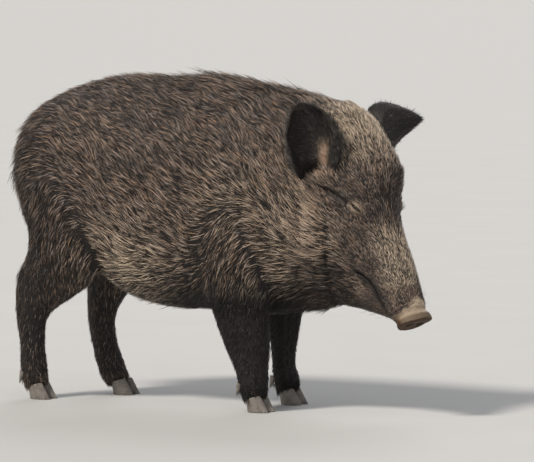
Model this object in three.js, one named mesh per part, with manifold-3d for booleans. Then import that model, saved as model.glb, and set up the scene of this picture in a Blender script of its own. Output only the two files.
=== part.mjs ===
// A wild boar standing still, head lowered: all sizes are of the animal with its winter coat on.
// Millimetres. +X runs to the nose, +Y to the boar's left, +Z up; the soles lie at z = 0.
import * as THREE from "three";
import { mergeVertices } from "three/addons/utils/BufferGeometryUtils.js";
import Module from "manifold-3d";

const wasm = await Module();
wasm.setup();

// Driving sizes.
const WITHERS_HEIGHT = 779;
const BELLY_CLEARANCE = 214;
const BARREL_HALF = 172;
const LEG_TRACK_HALF = 92;
const HEAD_LENGTH = 505;
const HEAD_PITCH = 65;
const HEAD_TURN = -15;
const EAR_HALF_WIDTH = 60;
const EYE_RADIUS = 13;
const EYE_OUT = 64;
const MOUTH_LENGTH = 122;
const HOOF_LENGTH = 56;
const HOOF_WIDTH = 29;
const HOOF_HEIGHT = 44;
const CROWN_HEIGHT = 34;
const PART_GAP = 0.4;

const deg = THREE.MathUtils.degToRad;
const vec = (x, y, z) => new THREE.Vector3(x, y, z);

// A value that runs smoothly through one named size of a list of stations, t going from 0 to 1.
function running(stations, key) {
  const knots = stations.map((station, i) => new THREE.Vector2(i, station[key]));
  const curve = new THREE.SplineCurve(knots);
  return (t) => curve.getPoint(THREE.MathUtils.clamp(t, 0, 1)).y;
}

// A closed round body: the rings of a sphere, each put where place(t, angle) says.
// t runs from one pole (0) to the other (1).
function shaped(around, along, place) {
  const g = new THREE.SphereGeometry(1, around, along);
  const p = g.getAttribute("position");
  for (let i = 0; i < p.count; i++) {
    const row = Math.floor(i / (around + 1));
    const column = i % (around + 1) % around;
    const v = place(row / along, (column / around) * 2 * Math.PI);
    p.setXYZ(i, v.x, v.y, v.z);
  }
  return g;
}

// How far along its stations a ring lies, how much it has narrowed, and how far it looks along
// the body, when the ends are domes.
function domed(t, startCap, endCap) {
  if (t < startCap) {
    const a = (t / startCap) * (Math.PI / 2);
    return { at: startCap * 0.6 * (1 - Math.cos(a)), round: Math.sin(a), look: -Math.cos(a) };
  }
  if (t > 1 - endCap) {
    const a = ((1 - t) / endCap) * (Math.PI / 2);
    return { at: 1 - endCap * 0.6 * (1 - Math.cos(a)), round: Math.sin(a), look: Math.cos(a) };
  }
  const span = (t - startCap) / (1 - startCap - endCap);
  const low = startCap * 0.6;
  const high = 1 - endCap * 0.6;
  return { at: low + (high - low) * span, round: 1, look: 0 };
}

const power = (v, k) => Math.sign(v) * Math.abs(v) ** k;

// A section: half wide at its widest level, its crown and keel pinched or filled by their own powers.
function section(half, rise, drop, crown, keel, angle) {
  const c = Math.cos(angle);
  const s = Math.sin(angle);
  const across = half * power(c, s > 0 ? crown : keel);
  return { across, height: s > 0 ? rise * s : drop * s };
}

// The solid that a geometry encloses.
function solid(geometry, matrix) {
  const g = geometry.clone();
  g.deleteAttribute("normal");
  g.deleteAttribute("uv");
  if (matrix) g.applyMatrix4(matrix);
  const m = mergeVertices(g, 1e-3);
  return new wasm.Manifold(
    new wasm.Mesh({
      numProp: 3,
      vertProperties: new Float32Array(m.attributes.position.array),
      triVerts: new Uint32Array(m.index.array),
    }),
  );
}

// What lies on the side of a plane that it faces.
function beyond(body, point, facing) {
  const n = facing.clone().normalize();
  return body.trimByPlane([n.x, n.y, n.z], n.dot(point) + PART_GAP / 2);
}

// Barrel and neck: one tapering body from rump to nape.
const BACK = [
  { x: -428, top: 640, low: 420, half: 96, wide: 540, crown: 0.9, keel: 0.95, y: 0 },
  { x: -352, top: 704, low: 395, half: 138, wide: 535, crown: 1.0, keel: 0.9, y: 0 },
  { x: -245, top: 746, low: 340, half: 160, wide: 515, crown: 1.05, keel: 0.9, y: 0 },
  { x: -125, top: 770, low: 242, half: 170, wide: 490, crown: 1.1, keel: 0.88, y: 0 },
  { x: 0, top: 771, low: BELLY_CLEARANCE, half: BARREL_HALF, wide: 480, crown: 1.15, keel: 0.9, y: 0 },
  { x: 120, top: WITHERS_HEIGHT - 4, low: 216, half: 168, wide: 480, crown: 1.25, keel: 0.9, y: 0 },
  { x: 235, top: 757, low: 208, half: 156, wide: 480, crown: 1.3, keel: 0.95, y: -2 },
  { x: 340, top: 738, low: 220, half: 134, wide: 480, crown: 1.3, keel: 0.95, y: -6 },
  { x: 440, top: 708, low: 228, half: 106, wide: 500, crown: 1.2, keel: 0.9, y: -14 },
];

function barrelShape(grow = 0) {
  const get = {};
  for (const key of Object.keys(BACK[0])) get[key] = running(BACK, key);
  return solid(
    shaped(24, 22, (t, angle) => {
      const { at, round, look } = domed(t, 0.16, 0.1);
      const wide = get.wide(at);
      const s = section(
        (get.half(at) + grow) * round,
        (get.top(at) - wide + grow) * round,
        (wide - get.low(at) + grow) * round,
        get.crown(at),
        get.keel(at),
        angle,
      );
      return vec(get.x(at) + look * grow, get.y(at) - s.across, wide + s.height);
    }),
  );
}

// The head's own frame: its axis runs down the face, its back is the brow side, its side the boar's right.
const POLL = vec(472, -14, 684);
const headTurn = new THREE.Matrix4()
  .makeRotationZ(deg(HEAD_TURN))
  .multiply(new THREE.Matrix4().makeRotationY(deg(HEAD_PITCH)));
const headFrame = new THREE.Matrix4().makeTranslation(POLL.x, POLL.y, POLL.z).multiply(headTurn);
// Along the face, out to the boar's right, and up off the brow.
const inHead = (along, right, up) => vec(along, -right, up).applyMatrix4(headFrame);
const headWay = (along, right, up) => vec(along, -right, up).transformDirection(headTurn);

const HEAD = [
  { s: -60, top: -16, low: -190, half: 84, wide: -100, crown: 1.0, keel: 0.9 },
  { s: 20, top: 14, low: -240, half: 101, wide: -118, crown: 0.95, keel: 0.85 },
  { s: 95, top: 36, low: -262, half: 106, wide: -128, crown: 0.78, keel: 0.8 },
  { s: 165, top: 40, low: -282, half: 107, wide: -132, crown: 0.62, keel: 0.75 },
  { s: 229, top: 6, low: -286, half: 106, wide: -132, crown: 1.05, keel: 0.72 },
  { s: 295, top: -2, low: -292, half: 96, wide: -122, crown: 1.1, keel: 0.7 },
  { s: 360, top: 0, low: -252, half: 76, wide: -98, crown: 0.95, keel: 0.7 },
  { s: 420, top: -1, low: -158, half: 57, wide: -70, crown: 0.85, keel: 0.75 },
  { s: 464, top: -2, low: -98, half: 45, wide: -45, crown: 0.85, keel: 0.85 },
  { s: 496, top: -3, low: -76, half: 38, wide: -40, crown: 0.9, keel: 0.9 },
];

function headShape(grow = 0) {
  const get = {};
  for (const key of Object.keys(HEAD[0])) get[key] = running(HEAD, key);
  return solid(
    shaped(20, 22, (t, angle) => {
      const { at, round, look } = domed(t, 0.14, 0.03);
      const wide = get.wide(at);
      const q = section(
        (get.half(at) + grow) * round,
        (get.top(at) - wide + grow) * round,
        (wide - get.low(at) + grow) * round,
        get.crown(at),
        get.keel(at),
        angle,
      );
      return inHead(get.s(at) + look * grow, q.across, wide + q.height);
    }),
  );
}

// The flat round end of the snout, a little wider than what carries it.
function discShape(grow = 0) {
  return solid(
    shaped(20, 6, (t, angle) => {
      const { at, round, look } = domed(t, 0.3, 0.3);
      const high = (Math.sin(angle) > 0 ? 42 : 36) + grow;
      const s = HEAD_LENGTH - 26 + at * 26 + look * grow - 5 * Math.sin(angle) * round;
      return inHead(s, (43 + grow) * round * Math.cos(angle), -39 + high * round * Math.sin(angle));
    }),
  );
}

// An ear: a leaf cupped about its own length.
// base and tip in the head's frame; facing is the way the hollow of the cup looks.
const EAR = [
  { half: 0.57, cup: 100, thick: 9 },
  { half: 0.8, cup: 86, thick: 8 },
  { half: 1, cup: 70, thick: 6.5 },
  { half: 0.97, cup: 58, thick: 5.5 },
  { half: 0.67, cup: 50, thick: 4.5 },
  { half: 0.2, cup: 40, thick: 3.2 },
];

// lead is how far its middle bows out to one side of the line from base to tip, and roll is how much
// tighter than a resting ear it is curled.
function earShape({ base, tip, facing, lead, roll }) {
  const half = running(EAR, "half");
  const cup = running(EAR, "cup");
  const thick = running(EAR, "thick");
  const length = tip.clone().sub(base);
  const along = length.clone().normalize();
  const front = facing.clone().addScaledVector(along, -facing.dot(along)).normalize();
  const side = new THREE.Vector3().crossVectors(along, front);
  return solid(
    shaped(14, 12, (t, angle) => {
      const { at, round } = domed(t, 0.12, 0.12);
      const reach = deg(cup(at) * roll);
      const spread = Math.max(Math.sin(Math.min(reach, Math.PI / 2)), 0.4);
      const radius = (half(at) * EAR_HALF_WIDTH) / roll / spread;
      const a = reach * Math.cos(angle) * round;
      const out = radius - thick(at) * round * Math.sin(angle);
      const bow = Math.sin(Math.PI * at);
      const centre = base.clone().addScaledVector(length, at).addScaledVector(front, 12 * bow);
      centre.addScaledVector(side, lead * bow);
      centre.addScaledVector(side, out * Math.sin(a));
      return centre.addScaledVector(front, radius * 0.55 - out * Math.cos(a));
    }),
  );
}

// Legs: one limb from the shoulder or hip down to the crown of the hooves; y is out from the midline.
const RIGHT_FORE = [
  { x: 190, y: 96, z: 560, fore: 84, side: 42 },
  { x: 192, y: 100, z: 470, fore: 102, side: 62 },
  { x: 198, y: 100, z: 370, fore: 98, side: 66 },
  { x: 208, y: 97, z: 285, fore: 90, side: 58 },
  { x: 218, y: 94, z: 215, fore: 72, side: 48 },
  { x: 232, y: 92, z: 150, fore: 60, side: 42 },
  { x: 243, y: 92, z: 95, fore: 43, side: 37 },
  { x: 247, y: 92, z: 58, fore: 37, side: 36 },
  { x: 252, y: 92, z: 24, fore: 27, side: 31 },
];
const LEFT_FORE = [
  { x: 190, y: 96, z: 560, fore: 84, side: 42 },
  { x: 192, y: 100, z: 470, fore: 102, side: 62 },
  { x: 198, y: 100, z: 370, fore: 98, side: 66 },
  { x: 212, y: 97, z: 285, fore: 80, side: 58 },
  { x: 217, y: 94, z: 215, fore: 54, side: 46 },
  { x: 221, y: 92, z: 150, fore: 37, side: 38 },
  { x: 221, y: 92, z: 95, fore: 30, side: 33 },
  { x: 228, y: 92, z: 58, fore: 33, side: 35 },
  { x: 234, y: 92, z: 24, fore: 26, side: 31 },
];
const RIGHT_HIND = [
  { x: -275, y: 88, z: 600, fore: 92, side: 44 },
  { x: -262, y: 98, z: 510, fore: 122, side: 66 },
  { x: -240, y: 100, z: 410, fore: 122, side: 68 },
  { x: -262, y: 98, z: 325, fore: 100, side: 60 },
  { x: -318, y: 95, z: 262, fore: 78, side: 48 },
  { x: -352, y: 93, z: 200, fore: 46, side: 38 },
  { x: -352, y: 92, z: 130, fore: 34, side: 32 },
  { x: -347, y: 92, z: 62, fore: 36, side: 34 },
  { x: -337, y: 92, z: 24, fore: 26, side: 31 },
];
const LEFT_HIND = [
  { x: -270, y: 88, z: 600, fore: 92, side: 44 },
  { x: -255, y: 98, z: 510, fore: 126, side: 66 },
  { x: -232, y: 100, z: 410, fore: 122, side: 68 },
  { x: -232, y: 98, z: 325, fore: 92, side: 60 },
  { x: -260, y: 95, z: 255, fore: 60, side: 44 },
  { x: -277, y: 93, z: 190, fore: 40, side: 35 },
  { x: -270, y: 92, z: 125, fore: 35, side: 33 },
  { x: -248, y: 92, z: 62, fore: 35, side: 34 },
  { x: -224, y: 92, z: 24, fore: 26, side: 31 },
];

function legShape(stations, left, grow = 0) {
  const get = {};
  for (const key of ["x", "y", "z", "fore", "side"]) get[key] = running(stations, key);
  const flip = left ? 1 : -1;
  const middle = (t) => vec(get.x(t), flip * get.y(t), get.z(t));
  return solid(
    shaped(12, 18, (t, angle) => {
      const { at, round, look } = domed(t, 0.12, 0.02);
      const step = 0.02;
      const way = middle(Math.min(at + step, 1)).sub(middle(Math.max(at - step, 0))).normalize();
      way.lerp(vec(0, 0, -1), 0.45).normalize();
      const side = vec(0, -1, 0);
      const front = new THREE.Vector3().crossVectors(side, way).normalize();
      const narrow = 1 - 0.12 * Math.max(0, -Math.sin(angle));
      return middle(at)
        .addScaledVector(way, look * grow)
        .addScaledVector(side, (get.side(at) + grow) * round * Math.cos(angle) * narrow)
        .addScaledVector(front, (get.fore(at) + grow) * round * Math.sin(angle));
    }),
  );
}

// One claw of a cloven hoof, on its flat sole: a wall that leans back, its toe blunt-pointed.
// outer is +1 for the claw that lies to the boar's left of its neighbour.
function hoofShape(toe, outer) {
  const g = new THREE.CylinderGeometry(1, 1, 1, 12, 1);
  const p = g.getAttribute("position");
  for (let i = 0; i < p.count; i++) {
    const up = p.getY(i) + 0.5;
    const front = p.getX(i);
    const out = -p.getZ(i);
    const lean = -17 * up;
    const length = (HOOF_LENGTH / 2) * (1 - 0.36 * up);
    const pinch = front > 0 ? 1 - 0.5 * front ** 2 : 1;
    const flat = out * outer < 0 ? 0.78 : 1;
    const y = out * (HOOF_WIDTH / 2) * (1 + 0.06 * up) * pinch * flat + outer * (HOOF_WIDTH / 2);
    p.setXYZ(i, toe.x - HOOF_LENGTH / 2 + front * length + lean, toe.y + y, HOOF_HEIGHT * up);
  }
  return solid(g);
}

// A dewclaw: a short blunt horn behind the fetlock, its point down and back.
function dewclawShape(at, way, grow = 0) {
  const g = new THREE.ConeGeometry(10 + grow, 34 + grow, 9, 2);
  const turn = new THREE.Quaternion().setFromUnitVectors(vec(0, 1, 0), way.clone().normalize());
  return solid(g, new THREE.Matrix4().compose(at, turn, vec(1, 1, 1)));
}

const group = new THREE.Group();
const coat = new THREE.MeshStandardMaterial({ color: 0x4a4038, roughness: 0.95 });
const dark = new THREE.MeshStandardMaterial({ color: 0x2a2522, roughness: 0.9 });
const horn = new THREE.MeshStandardMaterial({ color: 0x77706a, roughness: 0.6 });
const wet = new THREE.MeshStandardMaterial({ color: 0x120d0a, roughness: 0.1 });
const bare = new THREE.MeshStandardMaterial({ color: 0x5c524e, roughness: 0.7 });

function node(name, body, material) {
  const m = body.getMesh();
  const g = new THREE.BufferGeometry();
  g.setAttribute("position", new THREE.BufferAttribute(new Float32Array(m.vertProperties), 3));
  g.setIndex(new THREE.BufferAttribute(new Uint32Array(m.triVerts), 1));
  g.computeVertexNormals();
  const mesh = new THREE.Mesh(g, material);
  mesh.name = name;
  group.add(mesh);
}

// The biggest of the pieces that a cut leaves.
function largest(body) {
  return body.decompose().sort((a, b) => b.volume() - a.volume())[0];
}

// Legs, hooves and dewclaws.
const LEGS = [
  { name: "fore_right", stations: RIGHT_FORE, left: false, cuts: [250, 90], toe: 297 },
  { name: "fore_left", stations: LEFT_FORE, left: true, cuts: [250, 90], toe: 279 },
  { name: "hind_right", stations: RIGHT_HIND, left: false, cuts: [300, 95], toe: -292 },
  { name: "hind_left", stations: LEFT_HIND, left: true, cuts: [300, 95], toe: -178 },
];
const CROWN_FACING = vec(0.3, 0, -1).normalize();
let trunkAndNeck = barrelShape();
for (const leg of LEGS) {
  const side = leg.left ? 1 : -1;
  const whole = legShape(leg.stations, leg.left);
  trunkAndNeck = trunkAndNeck.subtract(legShape(leg.stations, leg.left, PART_GAP));
  const crown = vec(leg.toe - 44, 0, CROWN_HEIGHT);
  const limb = beyond(whole, crown, CROWN_FACING.clone().negate());
  const [knee, ankle] = leg.cuts;
  const upper = limb.trimByPlane([0, 0, 1], knee + PART_GAP / 2);
  const belowKnee = limb.trimByPlane([0, 0, -1], -knee + PART_GAP / 2);
  const lower = belowKnee.trimByPlane([0, 0, 1], ankle + PART_GAP / 2);
  let foot = limb.trimByPlane([0, 0, -1], -ankle + PART_GAP / 2);
  for (const outer of [1, -1]) {
    const toe = vec(leg.toe, side * LEG_TRACK_HALF, 0);
    const claw = beyond(hoofShape(toe, outer), crown, CROWN_FACING);
    const which = outer * side > 0 ? "outer" : "inner";
    node("hoof_" + leg.name + "_" + which, claw, horn);
    const dewAt = vec(leg.toe - 80, side * LEG_TRACK_HALF + outer * 18, 48);
    const dewWay = vec(-0.35, outer * 0.12, -1);
    foot = foot.subtract(dewclawShape(dewAt, dewWay, PART_GAP));
    node("dewclaw_" + leg.name + "_" + which, dewclawShape(dewAt, dewWay), horn);
  }
  node("leg_" + leg.name + "_upper", largest(upper.subtract(headShape(PART_GAP))), coat);
  node("leg_" + leg.name + "_lower", largest(lower), coat);
  node("foot_" + leg.name, largest(foot), coat);
}

// Head, ears, eyes and snout.
const EARS = [
  {
    name: "right",
    base: inHead(128, 106, -84),
    tip: inHead(-30, 160, -10),
    facing: headWay(0.25, 0.75, 0.6),
    lead: 12,
    roll: 1,
  },
  {
    name: "left",
    base: inHead(80, -74, -26),
    tip: inHead(28, -194, 8),
    facing: headWay(-0.05, -0.5, -0.7),
    lead: 44,
    roll: 1.15,
  },
];
const EYES = [
  { name: "right", at: inHead(220, EYE_OUT, -37) },
  { name: "left", at: inHead(220, -EYE_OUT, -37) },
];
let head = headShape();
for (const eye of EYES) {
  const place = new THREE.Matrix4().setPosition(eye.at);
  const ball = (grow) => solid(new THREE.SphereGeometry(EYE_RADIUS + grow, 12, 7), place);
  head = head.subtract(ball(PART_GAP));
  node("eye_" + eye.name, ball(0), wet);
}
for (const ear of EARS) {
  const leaf = earShape(ear).subtract(headShape(PART_GAP)).subtract(barrelShape(PART_GAP));
  node("ear_" + ear.name, largest(leaf), dark);
}
// The lower jaw is parted along the mouth and behind its corner.
function jawRegion(grow) {
  const g = new THREE.BoxGeometry(MOUTH_LENGTH + 2 * grow, 300, 200 + 2 * grow);
  g.translate(-MOUTH_LENGTH / 2, 0, -100);
  const hinge = new THREE.Matrix4().makeTranslation(471, 0, -64);
  hinge.multiply(new THREE.Matrix4().makeRotationY(deg(-10)));
  return solid(g, headFrame.clone().multiply(hinge));
}
const disc = discShape();
head = head.subtract(discShape(PART_GAP));
node("lower_jaw", largest(head.intersect(jawRegion(0))), coat);
head = head.subtract(jawRegion(PART_GAP));
node("snout_disc", disc, bare);
trunkAndNeck = trunkAndNeck.subtract(headShape(PART_GAP));

// The tail hangs close behind the rump and ends in a tassel.
const TAIL = [
  { x: -405, y: 4, z: 640, wide: 17 },
  { x: -440, y: 8, z: 600, wide: 17 },
  { x: -452, y: 16, z: 540, wide: 14 },
  { x: -448, y: 24, z: 480, wide: 13 },
  { x: -440, y: 30, z: 430, wide: 18 },
  { x: -434, y: 34, z: 385, wide: 7 },
];
function tailShape() {
  const get = {};
  for (const key of ["x", "y", "z", "wide"]) get[key] = running(TAIL, key);
  return solid(
    shaped(8, 12, (t, angle) => {
      const { at, round } = domed(t, 0.1, 0.1);
      const back = vec(-1, 0, 0);
      return vec(get.x(at), get.y(at), get.z(at))
        .addScaledVector(vec(0, -1, 0), get.wide(at) * round * Math.cos(angle))
        .addScaledVector(back, -get.wide(at) * round * Math.sin(angle));
    }),
  );
}
const hanging = tailShape().subtract(barrelShape(PART_GAP));
node("tail", largest(hanging.subtract(legShape(RIGHT_HIND, false, PART_GAP))), coat);

// The neck is parted from the trunk by a cut that leans forward over the shoulder.
const COLLAR = vec(300, 0, 480);
const COLLAR_FACING = vec(1, 0, 0.25).normalize();
node("trunk", largest(beyond(trunkAndNeck, COLLAR, COLLAR_FACING.clone().negate())), coat);
node("neck", largest(beyond(trunkAndNeck, COLLAR, COLLAR_FACING)), coat);
node("head", largest(head), coat);

// The origin is under the middle of the whole, on the floor.
const middle = new THREE.Box3().setFromObject(group).getCenter(vec(0, 0, 0));
group.position.set(-middle.x, -middle.y, 0);

export default group;
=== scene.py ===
# %% [markdown]
# # A wild boar in its winter coat, life size
# This lesson dresses a set of plain solids as a museum model of a wild boar. The solids already hold the
# outline out to the tips of the hair. What is made here is everything inside that outline: one skin, the
# eyes with their lids, the horn of the hooves, and a coat of about 280,000 tufts and straight hairs.
# Everything is in metres. The boar faces +X, its left side is +Y, and the floor is z = 0.

# %% Load the solid frame
import math

import bpy
import numpy as np
from mathutils import Matrix, Vector
from mathutils.bvhtree import BVHTree
from mathutils.kdtree import KDTree


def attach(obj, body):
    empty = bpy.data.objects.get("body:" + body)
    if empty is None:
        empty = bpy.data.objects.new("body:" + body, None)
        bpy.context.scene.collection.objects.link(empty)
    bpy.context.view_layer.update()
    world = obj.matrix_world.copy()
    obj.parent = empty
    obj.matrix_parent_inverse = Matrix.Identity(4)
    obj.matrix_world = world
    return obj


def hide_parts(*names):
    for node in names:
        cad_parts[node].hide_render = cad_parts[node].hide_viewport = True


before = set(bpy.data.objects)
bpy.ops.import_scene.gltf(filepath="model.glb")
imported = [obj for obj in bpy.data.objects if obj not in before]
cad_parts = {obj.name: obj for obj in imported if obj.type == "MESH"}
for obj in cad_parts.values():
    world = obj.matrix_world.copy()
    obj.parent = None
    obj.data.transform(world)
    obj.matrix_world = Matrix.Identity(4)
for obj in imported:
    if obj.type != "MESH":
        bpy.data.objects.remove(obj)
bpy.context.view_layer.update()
bpy.ops.object.select_all(action="DESELECT")

# %% [markdown]
# The head hangs low and turns a little to the boar's right, so its parts are easiest to place in a frame of
# the head's own: `along` runs down the face from the poll, `right` goes out to the boar's right cheek, and
# `up` rises off the brow. Two small helpers go from that frame to the model's and back.

# %% The head's own frame
POLL = np.array([0.366, -0.013, 0.684])
HEAD_PITCH = math.radians(65)
HEAD_TURN = math.radians(-15)
turn_to_side = np.array(Matrix.Rotation(HEAD_TURN, 3, "Z"))
FACE_AXIS = turn_to_side @ np.array([math.cos(HEAD_PITCH), 0, -math.sin(HEAD_PITCH)])
FACE_UP = turn_to_side @ np.array([math.sin(HEAD_PITCH), 0, math.cos(HEAD_PITCH)])
FACE_RIGHT = turn_to_side @ np.array([0, -1, 0])


def head_point(along, right, up):
    return POLL + along * FACE_AXIS + right * FACE_RIGHT + up * FACE_UP


def in_head(points):
    p = np.asarray(points) - POLL
    return p @ FACE_AXIS, p @ FACE_RIGHT, p @ FACE_UP


print("snout tip at", head_point(0.5, 0, -0.04).round(3))

# %% [markdown]
# Several fields below (colour marks, length and lie of the coat) change softly from one part of the body to
# the next. A smooth step and a small sum of slanted waves are enough to describe them, and they give the
# same numbers on every run.

# %% Soft steps and waves


def step(value, start, end):
    t = np.clip((value - start) / (end - start), 0, 1)
    return t * t * (3 - 2 * t)


def bell(value, width, centre=0.0):
    return np.exp(-(((value - centre) / width) ** 2))


def blob(points, centre, radii):
    return np.exp(-(((points - np.array(centre)) / np.array(radii)) ** 2).sum(-1))


def waves(points, size, seed, count=7):
    source = np.random.default_rng(seed)
    total = np.zeros(len(points))
    for _ in range(count):
        way = source.normal(size=3)
        way /= np.linalg.norm(way)
        pitch = size * source.uniform(0.7, 1.5)
        total += np.sin(points @ way * (2 * math.pi / pitch) + source.uniform(0, 6.28))
    return total / math.sqrt(count / 2)


def unit(v):
    return v / np.maximum(np.linalg.norm(v, axis=-1, keepdims=True), 1e-9)


print("a step from 0 to 1, at a quarter of its way:", step(0.25, 0, 1))

# %% [markdown]
# ## Floor, light and camera
# A mounted animal is shown on a plain floor under large soft lamps, so that the form of the body reads and
# no hard shadow hides the coat. The floor is big enough that its edge is never near the animal. Every
# finish in this lesson is built with the same few kinds of node, so they get short words first.

# %% Short words for a finish


class Finish:
    """A new material, its shader, and short words for the nodes that feed it."""

    def __init__(self, name):
        self.paint = bpy.data.materials.new(name)
        self.paint.use_nodes = True
        self.tree = self.paint.node_tree
        self.shader = self.tree.nodes["Principled BSDF"]

    def feed(self, socket, value):
        if isinstance(value, bpy.types.NodeSocket):
            self.tree.links.new(value, socket)
        elif socket.type == "RGBA":
            socket.default_value = (*value, 1)
        else:
            socket.default_value = value

    def add(self, kind, sockets=None, **settings):
        made = self.tree.nodes.new("ShaderNode" + kind)
        for name, value in settings.items():
            setattr(made, name, value)
        for socket, value in (sockets or {}).items():
            self.feed(made.inputs[socket], value)
        return made

    def place(self):
        return self.add("TexCoord").outputs["Object"]

    def number(self, name):
        return self.add("Attribute", attribute_name=name).outputs["Fac"]

    def noise(self, scale, detail=2, vector=None):
        sockets = {"Vector": vector or self.place(), "Scale": scale, "Detail": detail}
        return self.add("TexNoise", sockets).outputs["Fac"]

    def math(self, kind, *values):
        return self.add("Math", dict(enumerate(values)), operation=kind).outputs[0]

    def remap(self, value, low, high, top=1.0, **settings):
        sockets = {"Value": value, "From Min": low, "From Max": high, "To Max": top}
        return self.add("MapRange", sockets, **settings).outputs[0]

    def mix(self, amount, first, second):
        return self.add("Mix", {0: amount, 6: first, 7: second}, data_type="RGBA").outputs[2]

    def tones(self, amount, *stops):
        made = self.add("ValToRGB", {"Fac": amount})
        ramp = made.color_ramp.elements
        for end in (0, -1):
            ramp[end].position = stops[end][0]
            ramp[end].color = (*stops[end][1], 1)
        for place, colour in stops[1:-1]:
            ramp.new(place).color = (*colour, 1)
        return made.outputs["Color"]

    def bump(self, height, strength, distance):
        sockets = {"Height": height, "Strength": strength, "Distance": distance}
        self.feed(self.shader.inputs["Normal"], self.add("Bump", sockets).outputs["Normal"])

    def finish(self, **values):
        for name, value in values.items():
            self.feed(self.shader.inputs[name.replace("_", " ")], value)
        return self.paint


print("noise, remap, mix and tones are ready")

# %% Floor
bpy.ops.mesh.primitive_plane_add(size=1200, location=(0, 0, 0))
floor = bpy.context.object
floor.name = "studio_floor"
floor_paint = Finish("studio floor paint")
speckle = floor_paint.noise(3)
floor_tone = floor_paint.tones(speckle, (0, (0.455, 0.450, 0.435)), (1, (0.495, 0.488, 0.470)))
floor.data.materials.append(floor_paint.finish(Roughness=0.8, Base_Color=floor_tone))
print("floor paint:", floor_paint.paint.name)

# %% Soft lamps and the room's own light
world = bpy.data.worlds.new("studio air")
world.use_nodes = True
air = world.node_tree.nodes["Background"].inputs
air["Color"].default_value = (0.95, 0.96, 1.0, 1)
air["Strength"].default_value = 0.46
bpy.context.scene.world = world
bpy.context.scene.view_settings.view_transform = "Standard"


def soft_lamp(name, towards, strength, softness, warmth):
    bpy.ops.object.light_add(type="SUN", location=Vector(towards) * 4)
    lamp = bpy.context.object
    lamp.name = name
    lamp.data.energy = strength
    lamp.data.angle = math.radians(softness)
    lamp.data.color = warmth
    lamp.rotation_mode = "QUATERNION"
    lamp.rotation_quaternion = (-Vector(towards)).to_track_quat("-Z", "Y")


soft_lamp("key lamp", (-0.32, -0.80, 0.98), 3.1, 12, (1.0, 0.950, 0.88))
soft_lamp("fill lamp", (1.0, -0.5, 0.35), 0.35, 60, (0.90, 0.95, 1.0))
soft_lamp("rim lamp", (-0.3, 1.0, 0.8), 0.7, 35, (0.95, 0.97, 1.0))

# %% [markdown]
# The camera stands far off with a long lens, as one does with a shy animal: nine metres away, thirty degrees
# round towards the head and barely above the level of the back.

# %% Camera
AIM = Vector((0.0663, 0.1005, 0.398))
CAMERA_DISTANCE = 9.0
SENSOR_WIDTH = 36
IMAGE_WIDTH = 534
FOCAL_LENGTH_IN_PIXELS = 3888
azimuth, elevation = math.radians(30), math.radians(3.5)
level = math.cos(elevation)
back = Vector((math.sin(azimuth) * level, -math.cos(azimuth) * level, math.sin(elevation)))
bpy.ops.object.camera_add(location=AIM + CAMERA_DISTANCE * back)
camera = bpy.context.object
camera.rotation_mode = "QUATERNION"
camera.rotation_quaternion = (-back).to_track_quat("-Z", "Y")
camera.data.sensor_width = SENSOR_WIDTH
camera.data.lens = SENSOR_WIDTH * FOCAL_LENGTH_IN_PIXELS / IMAGE_WIDTH
bpy.context.scene.camera = camera
print("camera lens", round(camera.data.lens, 1), "mm")

# %% [markdown]
# ## One skin
# The solids meet face to face, like the parts of a carved manikin. A taxidermist draws one skin over the
# whole manikin, and so do we: the flesh solids are copied and joined, a voxel remesh melts them into one
# closed surface, and the mesh is then thinned where the body is plain and kept fine on the head and ears.

# %% Melt the flesh solids into one surface
SKIN_VOXEL = 0.0036
HARD = ("hoof", "dewclaw", "eye")
flesh = [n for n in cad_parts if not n.startswith(HARD)]
filled = flesh + ["eye_right", "eye_left"]


def new_object(name, mesh):
    made = bpy.data.objects.new(name, mesh)
    bpy.context.scene.collection.objects.link(made)
    return made


def loose_copy(node):
    return new_object(node + "_copy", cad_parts[node].data.copy())


def work_on(*things):
    bpy.ops.object.select_all(action="DESELECT")
    for thing in things:
        thing.select_set(True)
    bpy.context.view_layer.objects.active = things[0]


def join(*things):
    work_on(*things)
    bpy.ops.object.join()
    return bpy.context.object


def merge_points(thing):
    work_on(thing)
    bpy.ops.object.mode_set(mode="EDIT")
    bpy.ops.mesh.select_all(action="SELECT")
    bpy.ops.mesh.remove_doubles(threshold=1e-5)
    bpy.ops.object.mode_set(mode="OBJECT")


def apply_modifier(thing, kind, **settings):
    work_on(thing)
    modifier = thing.modifiers.new(kind.lower(), kind)
    for key, value in settings.items():
        setattr(modifier, key, value)
    bpy.ops.object.modifier_apply(modifier=modifier.name)


def melt(thing, voxel):
    thing.data.materials.clear()
    merge_points(thing)
    apply_modifier(thing, "REMESH", mode="VOXEL", voxel_size=voxel, use_smooth_shade=True)


skin = join(*[loose_copy(n) for n in filled])
skin.name = "skin"
melt(skin, SKIN_VOXEL)
print("melted skin:", len(skin.data.polygons), "faces")

# %% Thin the plain parts
SHARE_KEPT = 0.37


def read(collection, key, width=3, kind=np.float32):
    flat = np.empty(len(collection) * width, kind)
    collection.foreach_get(key, flat)
    return flat.reshape(-1, width)


def coordinates(mesh):
    return read(mesh.vertices, "co").astype(float)


def normals_of(mesh):
    return read(mesh.vertex_normals, "vector").astype(float)


def put_coordinates(mesh, points):
    mesh.vertices.foreach_set("co", points.astype(np.float32).ravel())
    mesh.update()


def set_numbers(mesh, **fields):
    for name, values in fields.items():
        kept = mesh.attributes.new(name, "FLOAT", "POINT")
        kept.data.foreach_set("value", np.asarray(values, np.float32))


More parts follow.
